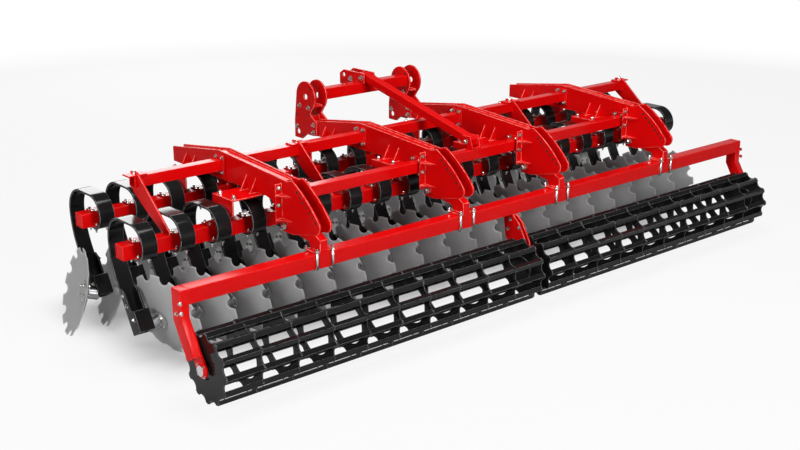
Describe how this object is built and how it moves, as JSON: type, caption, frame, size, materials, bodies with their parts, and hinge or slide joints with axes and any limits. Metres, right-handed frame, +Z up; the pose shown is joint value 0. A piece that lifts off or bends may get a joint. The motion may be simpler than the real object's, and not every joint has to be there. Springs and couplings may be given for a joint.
{
  "type": "mounted compact disc harrow",
  "caption": "Mounted compact disc harrow: two rows of notched discs on looped spring shanks under a red frame, with a pair of cage rollers behind and a three-point headstock.",
  "frame": {"origin": "on the floor, under the middle of the machine's bounding box", "axes": "+X the machine's right, its working width; +Y its direction of travel; +Z up"},
  "size_m": [5.2084, 2.134, 1.326],
  "materials": {
    "red_paint": "gloss",
    "black_paint": "gloss",
    "disc_steel": "satin"
  },
  "bodies": {
    "frame": {"arms_inner": "red_paint", "arms_outer": "red_paint", "brace": "red_paint", "carriers_front": "black_paint", "carriers_rear": "black_paint", "cross_tubes": "red_paint", "hangers": "red_paint", "headstock_tube": "red_paint", "headstock_uprights": "red_paint", "row_beams": "red_paint", "saddles": "red_paint", "shanks_front": "black_paint", "shanks_rear": "black_paint", "top_link_bracket": "red_paint"},
    "roller_frame": {"roller_tube": "red_paint", "roller_drop_arms": "red_paint", "roller_side_arms": "red_paint", "roller_centre_bracket": "red_paint"},
    "roller_left": {"roller_left": "black_paint"},
    "roller_right": {"roller_right": "black_paint"},
    "disc_front_01": {"disc_front_01": "disc_steel"},
    "disc_front_02": {"disc_front_02": "disc_steel"},
    "disc_front_03": {"disc_front_03": "disc_steel"},
    "disc_front_04": {"disc_front_04": "disc_steel"},
    "disc_front_05": {"disc_front_05": "disc_steel"},
    "disc_front_06": {"disc_front_06": "disc_steel"},
    "disc_front_07": {"disc_front_07": "disc_steel"},
    "disc_front_08": {"disc_front_08": "disc_steel"},
    "disc_front_09": {"disc_front_09": "disc_steel"},
    "disc_front_10": {"disc_front_10": "disc_steel"},
    "disc_front_11": {"disc_front_11": "disc_steel"},
    "disc_front_12": {"disc_front_12": "disc_steel"},
    "disc_front_13": {"disc_front_13": "disc_steel"},
    "disc_front_14": {"disc_front_14": "disc_steel"},
    "disc_front_15": {"disc_front_15": "disc_steel"},
    "disc_front_16": {"disc_front_16": "disc_steel"},
    "disc_front_17": {"disc_front_17": "disc_steel"},
    "disc_front_18": {"disc_front_18": "disc_steel"},
    "disc_front_19": {"disc_front_19": "disc_steel"},
    "disc_front_20": {"disc_front_20": "disc_steel"},
    "disc_rear_01": {"disc_rear_01": "disc_steel"},
    "disc_rear_02": {"disc_rear_02": "disc_steel"},
    "disc_rear_03": {"disc_rear_03": "disc_steel"},
    "disc_rear_04": {"disc_rear_04": "disc_steel"},
    "disc_rear_05": {"disc_rear_05": "disc_steel"},
    "disc_rear_06": {"disc_rear_06": "disc_steel"},
    "disc_rear_07": {"disc_rear_07": "disc_steel"},
    "disc_rear_08": {"disc_rear_08": "disc_steel"},
    "disc_rear_09": {"disc_rear_09": "disc_steel"},
    "disc_rear_10": {"disc_rear_10": "disc_steel"},
    "disc_rear_11": {"disc_rear_11": "disc_steel"},
    "disc_rear_12": {"disc_rear_12": "disc_steel"},
    "disc_rear_13": {"disc_rear_13": "disc_steel"},
    "disc_rear_14": {"disc_rear_14": "disc_steel"},
    "disc_rear_15": {"disc_rear_15": "disc_steel"},
    "disc_rear_16": {"disc_rear_16": "disc_steel"},
    "disc_rear_17": {"disc_rear_17": "disc_steel"},
    "disc_rear_18": {"disc_rear_18": "disc_steel"},
    "disc_rear_19": {"disc_rear_19": "disc_steel"},
    "disc_rear_20": {"disc_rear_20": "disc_steel"}
  },
  "joints": [
    {"name": "roller_depth", "type": "hinge", "parent": "frame", "child": "roller_frame", "pos_m": [0, -0.439, 0.794], "axis": [1, 0, 0], "range_deg": [-5, 7]},
    {"name": "roller_left_spin", "type": "hinge", "parent": "roller_frame", "child": "roller_left", "pos_m": [-1.26, -0.857, 0.264], "axis": [1, 0, 0], "continuous": true},
    {"name": "roller_right_spin", "type": "hinge", "parent": "roller_frame", "child": "roller_right", "pos_m": [1.26, -0.857, 0.264], "axis": [1, 0, 0], "continuous": true},
    {"name": "disc_front_01_spin", "type": "hinge", "parent": "frame", "child": "disc_front_01", "pos_m": [-2.442, 0.635, 0.25317], "axis": [-0.9285, 0.2488, 0.2756], "continuous": true},
    {"name": "disc_front_02_spin", "type": "hinge", "parent": "frame", "child": "disc_front_02", "pos_m": [-2.192, 0.635, 0.25317], "axis": [-0.9285, 0.2488, 0.2756], "continuous": true},
    {"name": "disc_front_03_spin", "type": "hinge", "parent": "frame", "child": "disc_front_03", "pos_m": [-1.942, 0.635, 0.25317], "axis": [-0.9285, 0.2488, 0.2756], "continuous": true},
    {"name": "disc_front_04_spin", "type": "hinge", "parent": "frame", "child": "disc_front_04", "pos_m": [-1.692, 0.635, 0.25317], "axis": [-0.9285, 0.2488, 0.2756], "continuous": true},
    {"name": "disc_front_05_spin", "type": "hinge", "parent": "frame", "child": "disc_front_05", "pos_m": [-1.442, 0.635, 0.25317], "axis": [-0.9285, 0.2488, 0.2756], "continuous": true},
    {"name": "disc_front_06_spin", "type": "hinge", "parent": "frame", "child": "disc_front_06", "pos_m": [-1.192, 0.635, 0.25317], "axis": [-0.9285, 0.2488, 0.2756], "continuous": true},
    {"name": "disc_front_07_spin", "type": "hinge", "parent": "frame", "child": "disc_front_07", "pos_m": [-0.942, 0.635, 0.25317], "axis": [-0.9285, 0.2488, 0.2756], "continuous": true},
    {"name": "disc_front_08_spin", "type": "hinge", "parent": "frame", "child": "disc_front_08", "pos_m": [-0.692, 0.635, 0.25317], "axis": [-0.9285, 0.2488, 0.2756], "continuous": true},
    {"name": "disc_front_09_spin", "type": "hinge", "parent": "frame", "child": "disc_front_09", "pos_m": [-0.442, 0.635, 0.25317], "axis": [-0.9285, 0.2488, 0.2756], "continuous": true},
    {"name": "disc_front_10_spin", "type": "hinge", "parent": "frame", "child": "disc_front_10", "pos_m": [-0.192, 0.635, 0.25317], "axis": [-0.9285, 0.2488, 0.2756], "continuous": true},
    {"name": "disc_front_11_spin", "type": "hinge", "parent": "frame", "child": "disc_front_11", "pos_m": [0.058, 0.635, 0.25317], "axis": [-0.9285, 0.2488, 0.2756], "continuous": true},
    {"name": "disc_front_12_spin", "type": "hinge", "parent": "frame", "child": "disc_front_12", "pos_m": [0.308, 0.635, 0.25317], "axis": [-0.9285, 0.2488, 0.2756], "continuous": true},
    {"name": "disc_front_13_spin", "type": "hinge", "parent": "frame", "child": "disc_front_13", "pos_m": [0.558, 0.635, 0.25317], "axis": [-0.9285, 0.2488, 0.2756], "continuous": true},
    {"name": "disc_front_14_spin", "type": "hinge", "parent": "frame", "child": "disc_front_14", "pos_m": [0.808, 0.635, 0.25317], "axis": [-0.9285, 0.2488, 0.2756], "continuous": true},
    {"name": "disc_front_15_spin", "type": "hinge", "parent": "frame", "child": "disc_front_15", "pos_m": [1.058, 0.635, 0.25317], "axis": [-0.9285, 0.2488, 0.2756], "continuous": true},
    {"name": "disc_front_16_spin", "type": "hinge", "parent": "frame", "child": "disc_front_16", "pos_m": [1.308, 0.635, 0.25317], "axis": [-0.9285, 0.2488, 0.2756], "continuous": true},
    {"name": "disc_front_17_spin", "type": "hinge", "parent": "frame", "child": "disc_front_17", "pos_m": [1.558, 0.635, 0.25317], "axis": [-0.9285, 0.2488, 0.2756], "continuous": true},
    {"name": "disc_front_18_spin", "type": "hinge", "parent": "frame", "child": "disc_front_18", "pos_m": [1.808, 0.635, 0.25317], "axis": [-0.9285, 0.2488, 0.2756], "continuous": true},
    {"name": "disc_front_19_spin", "type": "hinge", "parent": "frame", "child": "disc_front_19", "pos_m": [2.058, 0.635, 0.25317], "axis": [-0.9285, 0.2488, 0.2756], "continuous": true},
    {"name": "disc_front_20_spin", "type": "hinge", "parent": "frame", "child": "disc_front_20", "pos_m": [2.308, 0.635, 0.25317], "axis": [-0.9285, 0.2488, 0.2756], "continuous": true},
    {"name": "disc_rear_01_spin", "type": "hinge", "parent": "frame", "child": "disc_rear_01", "pos_m": [-2.308, -0.06, 0.25317], "axis": [0.9285, 0.2488, 0.2756], "continuous": true},
    {"name": "disc_rear_02_spin", "type": "hinge", "parent": "frame", "child": "disc_rear_02", "pos_m": [-2.058, -0.06, 0.25317], "axis": [0.9285, 0.2488, 0.2756], "continuous": true},
    {"name": "disc_rear_03_spin", "type": "hinge", "parent": "frame", "child": "disc_rear_03", "pos_m": [-1.808, -0.06, 0.25317], "axis": [0.9285, 0.2488, 0.2756], "continuous": true},
    {"name": "disc_rear_04_spin", "type": "hinge", "parent": "frame", "child": "disc_rear_04", "pos_m": [-1.558, -0.06, 0.25317], "axis": [0.9285, 0.2488, 0.2756], "continuous": true},
    {"name": "disc_rear_05_spin", "type": "hinge", "parent": "frame", "child": "disc_rear_05", "pos_m": [-1.308, -0.06, 0.25317], "axis": [0.9285, 0.2488, 0.2756], "continuous": true},
    {"name": "disc_rear_06_spin", "type": "hinge", "parent": "frame", "child": "disc_rear_06", "pos_m": [-1.058, -0.06, 0.25317], "axis": [0.9285, 0.2488, 0.2756], "continuous": true},
    {"name": "disc_rear_07_spin", "type": "hinge", "parent": "frame", "child": "disc_rear_07", "pos_m": [-0.808, -0.06, 0.25317], "axis": [0.9285, 0.2488, 0.2756], "continuous": true},
    {"name": "disc_rear_08_spin", "type": "hinge", "parent": "frame", "child": "disc_rear_08", "pos_m": [-0.558, -0.06, 0.25317], "axis": [0.9285, 0.2488, 0.2756], "continuous": true},
    {"name": "disc_rear_09_spin", "type": "hinge", "parent": "frame", "child": "disc_rear_09", "pos_m": [-0.308, -0.06, 0.25317], "axis": [0.9285, 0.2488, 0.2756], "continuous": true},
    {"name": "disc_rear_10_spin", "type": "hinge", "parent": "frame", "child": "disc_rear_10", "pos_m": [-0.058, -0.06, 0.25317], "axis": [0.9285, 0.2488, 0.2756], "continuous": true},
    {"name": "disc_rear_11_spin", "type": "hinge", "parent": "frame", "child": "disc_rear_11", "pos_m": [0.192, -0.06, 0.25317], "axis": [0.9285, 0.2488, 0.2756], "continuous": true},
    {"name": "disc_rear_12_spin", "type": "hinge", "parent": "frame", "child": "disc_rear_12", "pos_m": [0.442, -0.06, 0.25317], "axis": [0.9285, 0.2488, 0.2756], "continuous": true},
    {"name": "disc_rear_13_spin", "type": "hinge", "parent": "frame", "child": "disc_rear_13", "pos_m": [0.692, -0.06, 0.25317], "axis": [0.9285, 0.2488, 0.2756], "continuous": true},
    {"name": "disc_rear_14_spin", "type": "hinge", "parent": "frame", "child": "disc_rear_14", "pos_m": [0.942, -0.06, 0.25317], "axis": [0.9285, 0.2488, 0.2756], "continuous": true},
    {"name": "disc_rear_15_spin", "type": "hinge", "parent": "frame", "child": "disc_rear_15", "pos_m": [1.192, -0.06, 0.25317], "axis": [0.9285, 0.2488, 0.2756], "continuous": true},
    {"name": "disc_rear_16_spin", "type": "hinge", "parent": "frame", "child": "disc_rear_16", "pos_m": [1.442, -0.06, 0.25317], "axis": [0.9285, 0.2488, 0.2756], "continuous": true},
    {"name": "disc_rear_17_spin", "type": "hinge", "parent": "frame", "child": "disc_rear_17", "pos_m": [1.692, -0.06, 0.25317], "axis": [0.9285, 0.2488, 0.2756], "continuous": true},
    {"name": "disc_rear_18_spin", "type": "hinge", "parent": "frame", "child": "disc_rear_18", "pos_m": [1.942, -0.06, 0.25317], "axis": [0.9285, 0.2488, 0.2756], "continuous": true},
    {"name": "disc_rear_19_spin", "type": "hinge", "parent": "frame", "child": "disc_rear_19", "pos_m": [2.192, -0.06, 0.25317], "axis": [0.9285, 0.2488, 0.2756], "continuous": true},
    {"name": "disc_rear_20_spin", "type": "hinge", "parent": "frame", "child": "disc_rear_20", "pos_m": [2.442, -0.06, 0.25317], "axis": [0.9285, 0.2488, 0.2756], "continuous": true}
  ]
}
